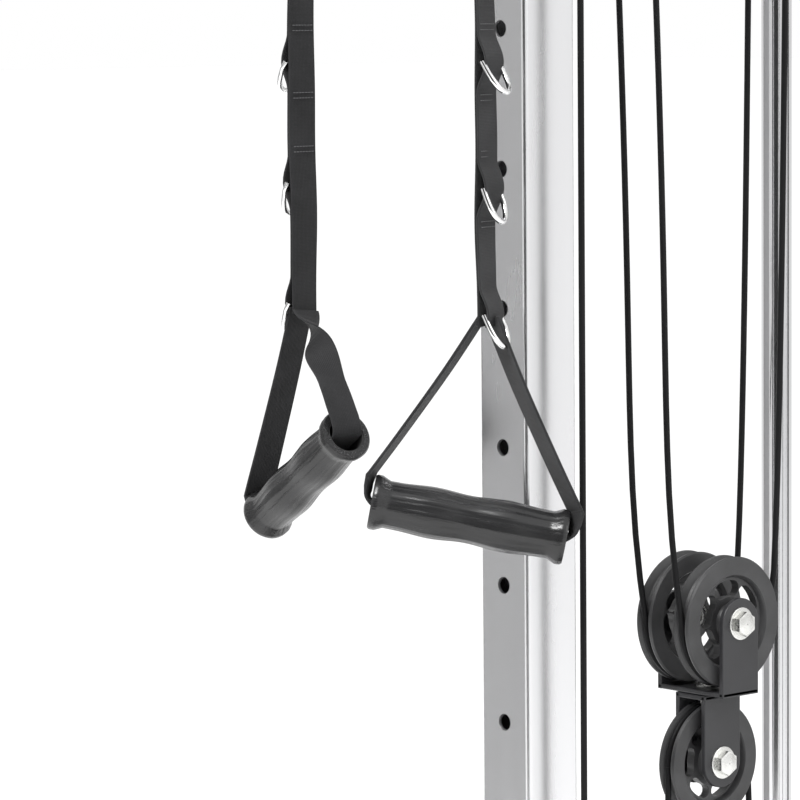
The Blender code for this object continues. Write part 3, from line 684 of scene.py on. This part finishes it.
# ---- cables ----
def cable_piece(name, points, body, node):
    bm = bmesh.new()
    add_tube(bm, points, CABLE_RADIUS)
    return add(name, bm, CABLE, body, [node])


def strand(name, start, end, node, bow=None, skew=1.0):
    """A run that stretches between two bodies, straight or bowed. A skew above 1 moves the bow to its end."""
    start, end = Vector(start), Vector(end)
    steps = 32
    points = []
    for k in range(steps + 1):
        t = k / steps
        point = start.lerp(end, t)
        if bow:
            point += bow * sin(pi * t ** skew)
        points.append(point)
    piece = cable_piece(name, points, None, node)
    piece.modifiers.clear()
    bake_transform(piece)


def dress_handle_cable(side):
    node = "handle_cable_" + side
    top, block = "top_front_pulley_" + side, "block_pulley_" + side
    top_rear, base_rear = "top_rear_pulley_" + side, "base_rear_pulley_" + side
    base_front = "base_front_pulley_" + side
    along = Z_AXIS.cross(spin_axis(top))
    main = cable_line(block)
    drop_top = pivot(top) - along * cable_line(top)
    tail_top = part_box("cable_tail_" + side)[1].z
    strand(node + "_drop", drop_top, (drop_top.x, drop_top.y, tail_top), node)
    cable_piece(node + "_over_top", arc(pivot(top), cable_line(top), -along, Z_AXIS), "frame", node)
    lean_top = pivot(top) + along * cable_line(top)
    front = pivot(block) - Y_AXIS * main
    bow = (-Y_AXIS - X_AXIS * 0.3) * SLACK
    strand(node + "_front_strand", lean_top, front, node, bow, 6.0)
    cable_piece(node + "_under_block", arc(pivot(block), main, -Y_AXIS, -Z_AXIS), "block", node)
    rear_top = pivot(top_rear) - Y_AXIS * main
    rear = pivot(block) + Y_AXIS * main
    strand(node + "_rear_strand", rear, rear_top, node, Y_AXIS * REAR_SLACK, 0.45)
    back = arc(pivot(top_rear), main, -Y_AXIS, Z_AXIS)
    back += arc(pivot(base_rear), main, Y_AXIS, -Z_AXIS, pi / 2)
    back += arc(pivot(base_front), main, -Z_AXIS, -Y_AXIS, pi / 2)
    cable_piece(node + "_return", back, "frame", node)
    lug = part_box("carriage")[0].z
    riser = pivot(base_front) - Y_AXIS * main
    strand(node + "_riser", riser, (riser.x, riser.y, lug + 0.01), node)


def dress_stack_cable():
    node = "stack_cable"
    lower, near, far, top = "block_pulley_lower", "base_pulley_front", "base_pulley_rear", "stack_top_pulley"
    radius, main = cable_line(lower), cable_line(near)
    front = pivot(lower) - Y_AXIS * radius
    anchor_z = 0.078
    strand(node + "_anchor_strand", (0, front.y, anchor_z), front, node)
    cable_piece(node + "_over_block", arc(pivot(lower), radius, -Y_AXIS, Z_AXIS), "block", node)
    start, end = pivot(lower) + Y_AXIS * radius, pivot(near) - Y_AXIS * main
    strand(node + "_down_strand", start, end, node)
    points = arc(pivot(near), main, -Y_AXIS, -Z_AXIS, pi / 2)
    points += arc(pivot(far), main, -Z_AXIS, Y_AXIS, pi / 2)
    points += arc(pivot(top), main, Y_AXIS, Z_AXIS)
    cable_piece(node + "_return", points, "frame", node)
    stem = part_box("head_plate")[1].z
    end = pivot(top) - Y_AXIS * main
    strand(node + "_stem_strand", end, (0, end.y, stem), node)
    ends = bmesh.new()
    place = Matrix.Translation((0, front.y, anchor_z - 0.022))
    add_turned(ends, [(0.0025, 0), (0.0062, 0), (0.0062, 0.030), (0.0045, 0.034), (0.0040, 0.060),
                      (0.0025, 0.060)], place, 32)
    add("anchor_fitting", ends, ZINC, "frame")
    ends = bmesh.new()
    place = Matrix.Translation((0, end.y, stem - 0.002))
    add_turned(ends, [(0.0025, 0), (0.0100, 0), (0.0100, 0.008), (0.0062, 0.009), (0.0062, 0.030),
                      (0.0040, 0.034), (0.0040, 0.055), (0.0025, 0.055)], place, 32)
    add("stem_fitting", ends, ZINC, "lifted_stack")


# ---- carriage, swivels and hooks ----
def dress_carriage():
    low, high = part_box("pull_pin")
    bm = bmesh.new()
    z = (low.z + high.z) / 2
    place = facing((0, low.y, z), Y_AXIS)
    knob = (high.z - low.z) / 2
    shaft = 0.0050
    add_turned(bm, [(0.0005, 0), (knob * 0.6, 0), (knob * 0.92, 0.003), (knob, 0.008), (knob * 0.94, 0.013),
                    (knob * 0.62, 0.019), (knob * 0.5, 0.026), (0.0005, 0.026)], place)
    add("pull_knob", bm, RUBBER, "pull_pin", ["pull_pin"])
    bm = bmesh.new()
    add_cylinder(bm, (0, low.y + 0.02, z), (0, high.y, z), shaft)
    add("pull_shaft", bm, ZINC, "pull_pin")
    fittings = bmesh.new()
    for side in SIDES:
        pin = pivot("swivel_" + side)
        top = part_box("swivel_" + side)[1].z
        place = Matrix.Translation((pin.x, pin.y, top - 0.0004))
        washer = bmesh.new()
        add_turned(washer, [(0.0060, 0), (0.0135, 0), (0.0135, 0.0018), (0.0060, 0.0018)], place)
        add("swivel_washer_" + side, washer, ZINC, "swivel_" + side)
        riser = pivot("base_front_pulley_" + side) - Y_AXIS * cable_line("base_front_pulley_" + side)
        lug_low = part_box("carriage")[0].z
        add_turned(fittings, [(0.0023, -0.030), (0.0046, -0.030), (0.0046, -0.006), (0.0066, -0.0055),
                              (0.0066, -0.0002), (0.0023, -0.0002)],
                   Matrix.Translation((riser.x, riser.y, lug_low)), 32)
    add("lug_fittings", fittings, ZINC, "carriage")


def dress_hook(side):
    """Cable run over the swivel pulley, its rubber ball stop, and a snap hook."""
    pulley = "swivel_pulley_" + side
    out = Z_AXIS.cross(spin_axis(pulley))
    centre, radius = pivot(pulley), cable_line(pulley)
    tail_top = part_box("cable_tail_" + side)[1].z
    hang = pivot("handle_" + side)
    points = [centre - out * radius + Z_AXIS * (tail_top - centre.z)]
    points += arc(centre, radius, -out, -Z_AXIS, pi / 2)
    ball = centre - Z_AXIS * radius + out * 0.034
    points.append(ball)
    cable_piece("cable_end_" + side, points, "swivel_" + side, "cable_tail_" + side)
    bm = bmesh.new()
    place = Matrix.Translation(ball)
    bmesh.ops.create_uvsphere(bm, u_segments=40, v_segments=24, radius=0.0118, matrix=place)
    add("ball_stop_" + side, bm, RUBBER, "swivel_" + side, ["cable_stop_" + side])
    wire, half_wide, bottom, top = 0.0026, 0.0085, hang.z - 0.0055, ball.z - 0.002
    hook = [(0, top), (half_wide * 0.6, top - 0.004), (half_wide, top - 0.014), (half_wide, bottom + 0.014),
            (half_wide * 0.7, bottom + 0.003), (0, bottom), (-half_wide * 0.7, bottom + 0.003),
            (-half_wide, bottom + 0.014), (-half_wide, top - 0.014), (-half_wide * 0.6, top - 0.004)]
    at = Vector((hang.x, hang.y, 0))
    knots = [at + out * u + Z_AXIS * v for u, v in hook]
    loop = smooth_path([*knots, knots[0]], 8)[:-1]
    bm = bmesh.new()
    add_tube(bm, loop, wire, 14, closed=True)
    add_cylinder(bm, ball + out * 0.006, Vector((hang.x, hang.y, ball.z)) + out * 0.001, 0.0040)
    add("snap_hook_" + side, bm, ZINC, "swivel_" + side)


# ---- straps and slings ----
def add_band(bm, points, widths, width, thick):
    """A flat band along points, with its width direction at each in widths, and a UV map in metres."""
    uv = bm.loops.layers.uv.verify()
    rings, distances, travelled = [], [], 0.0
    half, chamfer = width / 2, thick * 0.3
    section = [(-half, -thick / 2 + chamfer), (-half + chamfer, -thick / 2), (half - chamfer, -thick / 2),
               (half, -thick / 2 + chamfer), (half, thick / 2 - chamfer), (half - chamfer, thick / 2),
               (-half + chamfer, thick / 2), (-half, thick / 2 - chamfer)]
    count = len(points)
    for i, point in enumerate(points):
        tangent = (points[min(i + 1, count - 1)] - points[max(i - 1, 0)]).normalized()
        across = (widths[i] - tangent * widths[i].dot(tangent)).normalized()
        face = tangent.cross(across)
        rings.append([bm.verts.new(point + across * u + face * v) for u, v in section])
        travelled += (point - points[max(i - 1, 0)]).length
        distances.append(travelled)
    for i in range(count - 1):
        for k in range(len(section)):
            j = (k + 1) % len(section)
            quad = bm.faces.new((rings[i][k], rings[i][j], rings[i + 1][j], rings[i + 1][k]))
            places = ((section[k][0], distances[i]), (section[j][0], distances[i]),
                      (section[j][0], distances[i + 1]), (section[k][0], distances[i + 1]))
            for corner, place in zip(quad.loops, places):
                corner[uv].uv = place
    bm.faces.new(rings[0])
    bm.faces.new(rings[-1])


def turned_widths(first, last, points, flip=0.0):
    """Width directions that turn evenly from first to last, with flip added over the first 62 %."""
    count = len(points) - 1
    result = []
    for i in range(count + 1):
        t = i / count
        eased = t * t * (3 - 2 * t)
        early = min(1, t / 0.62)
        early = early * early * (3 - 2 * early)
        tangent = (points[min(i + 1, count)] - points[max(i - 1, 0)]).normalized()
        result.append(Matrix.Rotation(flip * early, 3, tangent) @ first.lerp(last, eased).normalized())
    return result


def ring_levels(side):
    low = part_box("strap_" + side)[0].z
    return [low + 0.004 + RING_PITCH * k for k in range(RING_COUNT)]


def dress_strap(side):
    """Two layers of webbing, sewn together between the rings, with a ring held by each pocket."""
    low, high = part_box("strap_" + side)
    centre = (low + high) / 2
    turn = radians(STRAP_TURN[side])
    width_dir = Vector((cos(turn), sin(turn), 0))
    out = Vector((sin(turn), -cos(turn), 0))
    levels = ring_levels(side)
    bm = bmesh.new()
    top = high.z
    steps = 120
    for sign in (-1, 1):
        points, widths = [], []
        for k in range(steps + 1):
            z = low.z - 0.004 + (top - low.z + 0.004) * k / steps
            wander = 0.0006 * sin(z * 31) + 0.0004 * sin(z * 67 + 1)
            offset = sign * WEB_LAYER / 2
            if sign > 0:
                nearest = min(abs(z - level) for level in levels)
                offset += POCKET_DEPTH * max(0, 1 - (nearest / POCKET_HALF) ** 2) ** 2
            points.append(Vector((centre.x, centre.y, z)) + out * (offset + wander))
            widths.append(Matrix.Rotation(0.06 * sin(z * 19), 3, "Z") @ width_dir)
        add_band(bm, points, widths, WEB_WIDTH, WEB_LAYER)
    loop_z = pivot("handle_" + side).z
    eye = arc(Vector((centre.x, centre.y, loop_z)), 0.0062, -out, Z_AXIS, pi, 14)
    eye = [eye[0] - Z_AXIS * 0.030, *eye, eye[-1] - Z_AXIS * 0.030]
    add_band(bm, eye, [width_dir] * len(eye), WEB_WIDTH * 0.72, WEB_LAYER)
    add("strap_webbing_" + side, bm, WEBBING, "handle_" + side, ["strap_" + side])
    rings = bmesh.new()
    stitches = bmesh.new()
    for k, level in enumerate(levels):
        droop = radians(RING_DROOP + 6 * sin(2.1 * k))
        reach = out * cos(droop) - Z_AXIS * sin(droop)
        base = Vector((centre.x, centre.y, level)) + out * (POCKET_DEPTH - RING_WIRE)
        half = WEB_WIDTH / 2 - 0.001
        path = [base + width_dir * half * (1 - 2 * i / 8) for i in range(8)]
        for i in range(20):
            a = pi - pi * i / 20
            bulge = RING_REACH * sin(a) ** 0.75
            path.append(base + width_dir * half * cos(a) + reach * bulge)
        add_tube(rings, path, RING_WIRE, 12, closed=True)
        if k == 0:
            continue
        for row in (-0.027, -0.023, 0.023, 0.027):
            if level + row > loop_z - 0.045:
                continue
            for i in range(7):
                at = Vector((centre.x, centre.y, level + row)) + width_dir * (i - 3) * 0.0030
                for face in (-1, 1):
                    spot = at + out * face * (WEB_LAYER + 0.0003)
                    add_cylinder(stitches, spot - width_dir * 0.0010, spot + width_dir * 0.0010, 0.00035, 6)
    add("strap_rings_" + side, rings, RING_CHROME, "handle_" + side)
    add("strap_stitches_" + side, stitches, THREAD, "handle_" + side)


def dress_sling(side):
    """One band that leaves the lowest ring, goes through the grip and comes back to the ring."""
    strap_low, strap_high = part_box("strap_" + side)
    strap = (strap_low + strap_high) / 2
    grip = "grip_" + side
    axis, centre = spin_axis(grip), pivot(grip)
    across = Z_AXIS.cross(axis).normalized()
    up = axis.cross(across)
    half = GRIP_HALF + 0.0032
    apex = Vector((strap.x, strap.y, strap_low.z + 0.002))
    turn = radians(STRAP_TURN[side])
    width_dir = Vector((cos(turn), sin(turn), 0))
    if width_dir.dot(across) < 0:
        across = -across
    spread = LEG_SPREAD[side]
    flat = Vector((axis.x, axis.y, 0)).normalized()
    bm = bmesh.new()
    for sign in (-1, 1):
        end = centre + axis * (half + 0.0005) * sign
        start = apex + flat * spread * sign
        knee = end + up * (GRIP_RADIUS + 0.002)
        bend = flat * 0.003 * sign
        knots = [start, start.lerp(knee, 0.35) - bend * 0.6, start.lerp(knee, 0.75) - bend * 0.4, knee]
        first, last, flip = width_dir, across, 0.0
        if side == "left" and sign == 1:
            lowered = start - Z_AXIS * 0.004
            knots = [lowered, start.lerp(knee, 0.36) - flat * 0.003, start.lerp(knee, 0.8), knee]
            flip = -pi
        elif side == "right":
            first = last = (across - flat * LEG_LEAN[sign] * sign).normalized()
        leg = smooth_path(knots, 18)
        widths = turned_widths(first, last, leg, flip)
        inner_width = -across if flip else across
        mouth = arc(end + up * 0.006 - axis * sign * 0.0075, 0.0075, axis * sign, -up, pi / 2, 6)
        floor = centre - up * 0.0015
        tucked = [end + up * 0.012 + axis * sign * 0.0006, *mouth, floor + axis * half * 0.5 * sign, floor]
        leaning = widths[-1]
        widths += [leaning.lerp(inner_width, min(1.0, 0.3 + 0.2 * k)) for k in range(len(tucked))]
        add_band(bm, leg + tucked, widths, WEB_WIDTH * 0.96, WEB_LAYER * 1.3)
    add("sling_webbing_" + side, bm, WEBBING, "handle_" + side, ["sling_" + side])


def dress_grip(side):
    """Soft rubber sleeve with a waved outline, fine creases and flared lips, on a plastic tube."""
    body = "grip_" + side
    half, radius, bore = GRIP_HALF, GRIP_RADIUS, 0.0145
    lip = radius + 0.0025
    profile = [(bore, -half), (lip - 0.001, -half), (lip, -half + 0.0015), (lip, -half + 0.005)]
    steps = 36
    for k in range(steps + 1):
        t = k / steps
        h = -half + 0.011 + (2 * half - 0.022) * t
        swell = 0.0009 * sin(pi * t) - 0.0011 * cos(4 * pi * t) * sin(pi * t)
        profile.append((radius - 0.0004 + swell, h))
    profile += [(lip, half - 0.005), (lip, half - 0.0015), (lip - 0.001, half), (bore, half)]
    bm = bmesh.new()
    add_turned(bm, profile, Matrix.Identity(4), 72)
    for vert in bm.verts:
        reach = Vector((vert.co.x, vert.co.y)).length
        if reach > bore + 0.001:
            turn = Vector((1, 0)).angle_signed(Vector((vert.co.x, vert.co.y)), 0)
            h = vert.co.z
            crease = 0.00034 * sin(9 * turn + 9 * h)
            crease += 0.00022 * sin(23 * turn - 14 * h + 2 * sin(40 * h))
            fade = max(0.0, 1 - (abs(h) / half) ** 6)
            vert.co.x *= 1 + crease * fade / reach
            vert.co.y *= 1 + crease * fade / reach
    obj = raw("grip_sleeve_" + side, bm, GRIP)
    obj.data.shade_smooth()
    obj.data.set_sharp_from_angle(angle=radians(50))
    obj.matrix_world = facing(pivot(body), spin_axis(body))
    settle(obj, body, [body])
    liner = bmesh.new()
    add_turned(liner, [(bore - 0.0012, -half + 0.0008), (bore + 0.0004, -half + 0.0008),
                       (bore + 0.0004, half - 0.0008), (bore - 0.0012, half - 0.0008)],
               facing(pivot(body), spin_axis(body)))
    add("grip_liner_" + side, liner, RUBBER, body)


# ---- weight stack ----
def plate(name, low, high, body, node, pin_holes=True):
    rod = middle("guide_rod_left")
    bm = bmesh.new()
    add_block(bm, low, high)
    slab = raw(name, bm, IRON)
    tool = bmesh.new()
    for side in (-1, 1):
        x = abs(rod.x) * side
        add_cylinder(tool, (x, rod.y, low.z - 0.01), (x, rod.y, high.z + 0.01), 0.0138)
    if pin_holes:
        z = (low.z + high.z) / 2
        add_cylinder(tool, (0, low.y - 0.01, z), (0, low.y + 0.070, z), 0.0062, 24)
    carve(slab, raw(name + "_holes", tool, IRON))
    shade(slab, 0.0012)
    settle(slab, body, node)


def dress_stack():
    groups = frame["record"]["behaviour"]["bodies"]
    number = 0
    for k in range(1, 6):
        node = f"weight_plates_{k}"
        low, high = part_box(node)
        body = "lifted_stack" if node in groups["lifted_stack"] else "frame"
        thick = (high.z - low.z) / 2
        for half in (1, 0):
            number += 1
            z = low.z + thick * half
            plate_low = Vector((low.x, low.y, z + 0.0005))
            plate_high = Vector((high.x, high.y, z + thick - 0.0004))
            plate(f"plate_{number}", plate_low, plate_high, body, [node] if half else ())
    low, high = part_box("head_plate")
    shelf = low.z + 0.032
    plate("plate_head", low, Vector((high.x, high.y, shelf)), "lifted_stack", ["head_plate"], False)
    rod = middle("guide_rod_left")
    bm = bmesh.new()
    place = Matrix.Translation((0, rod.y, shelf - 0.001))
    add_turned(bm, [(0.001, 0), (0.018, 0), (0.018, 0.006), (0.012, 0.008), (0.012, high.z - shelf + 0.0005),
                    (0.001, high.z - shelf + 0.0005)], place)
    add("head_stem", bm, ZINC, "lifted_stack")
    bushes = bmesh.new()
    for side in (-1, 1):
        place = Matrix.Translation((abs(rod.x) * side, rod.y, shelf - 0.002))
        profile = [(0.0131, 0), (0.0205, 0), (0.0205, 0.006), (0.0190, 0.008), (0.0131, 0.008)]
        add_turned(bushes, profile, place)
    add("head_bushes", bushes, RUBBER, "lifted_stack")
    low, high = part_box("selector_pin")
    z = (low.z + high.z) / 2
    knob = (high.z - low.z) / 2
    bm = bmesh.new()
    add_turned(bm, [(0.0005, 0), (knob * 0.55, 0), (knob * 0.95, 0.003), (knob, 0.006), (knob * 0.9, 0.013),
                    (knob * 0.55, 0.018), (0.0005, 0.018)], facing((0, low.y, z), Y_AXIS))
    add("selector_knob", bm, RUBBER, "selector_pin", ["selector_pin"])
    bm = bmesh.new()
    add_cylinder(bm, (0, low.y + 0.015, z), (0, high.y, z), 0.0050)
    add("selector_shaft", bm, ZINC, "selector_pin")


# ---- studio ----
def plain(name, colour):
    mat = bpy.data.materials.new(name)
    mat.use_nodes = True
    shader = mat.node_tree.nodes["Principled BSDF"]
    shader.inputs["Base Color"].default_value = (*colour, 1)
    shader.inputs["Roughness"].default_value = 0.9
    shader.inputs["Specular IOR Level"].default_value = 0.1
    return mat


def make_floor():
    bpy.ops.mesh.primitive_plane_add(size=160, location=(0, 0, -0.0005))
    floor = bpy.context.object
    floor.name = "floor"
    floor.data.materials.append(plain("floor_paint", (0.90, 0.90, 0.90)))


def make_card(name, azimuth, distance, width, height, grey):
    """A plain upright panel that only reflections show."""
    turn = radians(azimuth)
    place = Vector((sin(turn), -cos(turn), 0)) * distance + Z_AXIS * 1.3
    bpy.ops.mesh.primitive_plane_add(size=1, location=place)
    card = bpy.context.object
    card.name = name
    card.scale = (width, height, 1)
    card.rotation_euler = Vector((-place.x, -place.y, 0)).to_track_quat("Z", "Y").to_euler()
    card.data.materials.append(plain(name + "_paint", (grey, grey, grey)))
    card.visible_camera = False
    card.visible_shadow = False
    card.visible_diffuse = False


def make_light(name, azimuth, elevation, distance, size, power):
    turn, rise = radians(azimuth), radians(elevation)
    back = Vector((sin(turn) * cos(rise), -cos(turn) * cos(rise), sin(rise)))
    data = bpy.data.lights.new(name, "AREA")
    data.shape = "RECTANGLE"
    data.size = size
    data.size_y = size
    data.energy = power
    light = bpy.data.objects.new(name, data)
    light.location = back * distance + Vector((0, 0, 1.0))
    light.rotation_euler = (-back).to_track_quat("-Z", "Y").to_euler()
    bpy.context.scene.collection.objects.link(light)


def make_studio():
    world = bpy.data.worlds.new("studio")
    bpy.context.scene.world = world
    world.use_nodes = True
    background = world.node_tree.nodes["Background"]
    background.inputs["Color"].default_value = (1, 1, 1, 1)
    background.inputs["Strength"].default_value = 1.0
    make_light("key", 20, 50, 5.0, 1.6, 220)
    make_light("fill", 110, 25, 5.0, 2.5, 40)
    sun = bpy.data.lights.new("sun", "SUN")
    sun.energy = 0.7
    sun.angle = radians(25)
    sun_object = bpy.data.objects.new("sun", sun)
    sun_object.rotation_euler = (radians(35), 0, radians(20))
    bpy.context.scene.collection.objects.link(sun_object)
    make_card("grey_card", -AZIMUTH, 2.2, 2.6, 4.0, 0.36)
    make_card("dark_card", 33, 3.0, 2.8, 4.0, 0.05)


def make_camera():
    turn, drop = radians(AZIMUTH), radians(ELEVATION)
    look = Vector((-sin(turn) * cos(drop), cos(turn) * cos(drop), -sin(drop)))
    data = bpy.data.cameras.new("camera")
    data.lens = LENS
    data.sensor_width = 36
    data.clip_end = 500
    camera = bpy.data.objects.new("camera", data)
    camera.location = AIM - look * DISTANCE
    camera.rotation_mode = "QUATERNION"
    roll = Matrix.Rotation(radians(ROLL), 3, "Z").to_quaternion()
    camera.rotation_quaternion = look.to_track_quat("-Z", "Y") @ roll
    bpy.context.scene.collection.objects.link(camera)
    bpy.context.scene.camera = camera


def main():
    bpy.context.scene.view_settings.view_transform = "Standard"
    dress_column()
    dress_frame()
    dress_pulleys()
    dress_axles()
    dress_block()
    dress_carriage()
    for side in SIDES:
        dress_handle_cable(side)
        dress_hook(side)
        dress_strap(side)
        dress_sling(side)
        dress_grip(side)
    dress_stack_cable()
    dress_stack()
    make_floor()
    make_studio()
    make_camera()
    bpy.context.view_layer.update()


main()
